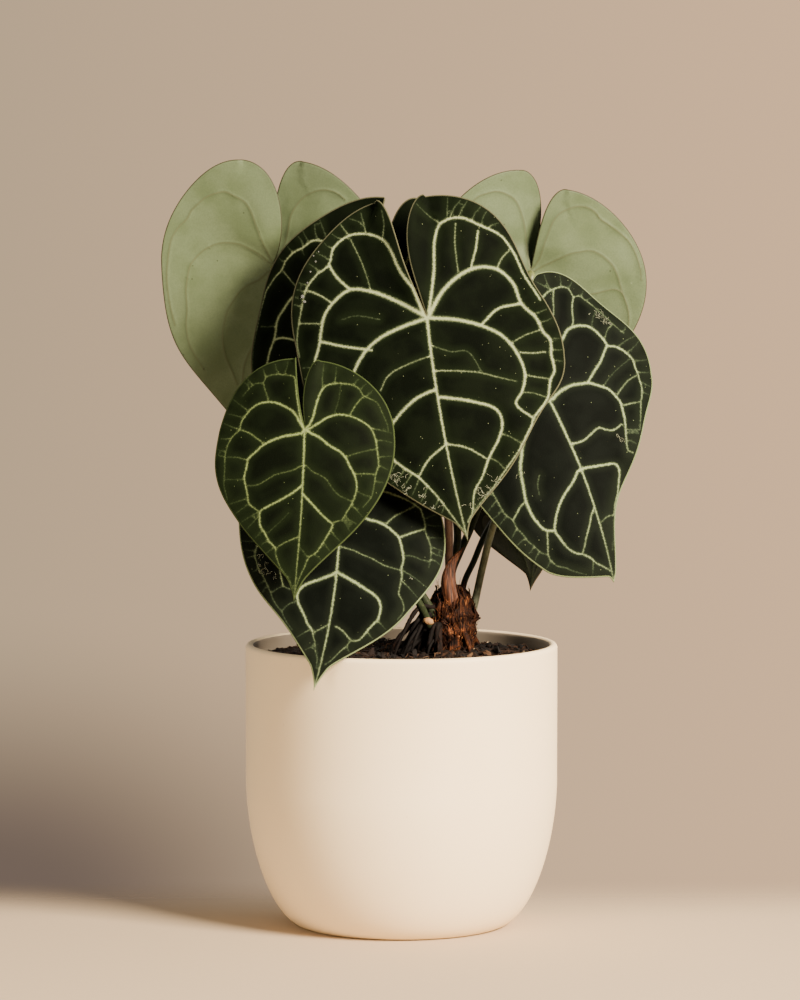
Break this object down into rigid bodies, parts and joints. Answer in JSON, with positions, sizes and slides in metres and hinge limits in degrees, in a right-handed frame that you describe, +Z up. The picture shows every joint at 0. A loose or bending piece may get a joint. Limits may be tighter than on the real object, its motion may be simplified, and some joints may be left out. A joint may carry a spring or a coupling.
{
  "type": "potted anthurium clarinervium",
  "caption": "Velvet-leaf aroid house plant with heart-shaped, pale-veined leaves on petioles from a stubby rootstock, in a round matte ceramic pot with a turned-in foot.",
  "frame": {"origin": "centre of the pot's flat foot, on the surface that the pot stands on", "axes": "+Z up through the pot; -Y is the front of the plant, where the largest leaf faces, and +X is its right as seen from the front"},
  "size_m": [0.238, 0.1606, 0.3676],
  "materials": {
    "pot_ceramic": "matte cream",
    "potting_mix": "loose bark and fibre",
    "rootstock": "fibrous",
    "dry_bract": "dry, papery",
    "leaf_blade": "velvety dark green with pale veins",
    "leaf_blade_turned_away": "pale green under side, dark velvety upper side",
    "petiole_green": "smooth, slightly waxy",
    "petiole_reddish": "smooth, slightly waxy"
  },
  "bodies": {
    "root": {"pot": "pot_ceramic", "soil": "potting_mix", "rootstock": "rootstock", "dry_bract": "dry_bract", "blade_front_centre": "leaf_blade", "blade_front_left": "leaf_blade", "blade_low_left": "leaf_blade", "blade_right": "leaf_blade", "blade_middle_left": "leaf_blade", "blade_back_left": "leaf_blade_turned_away", "blade_back_right": "leaf_blade_turned_away", "blade_low_right": "leaf_blade_turned_away", "petiole_front_centre": "petiole_reddish", "petiole_front_left": "petiole_green", "petiole_low_left": "petiole_green", "petiole_right": "petiole_green", "petiole_middle_left": "petiole_green", "petiole_back_left": "petiole_green", "petiole_back_right": "petiole_green", "petiole_low_right": "petiole_green"}
  },
  "joints": []
}
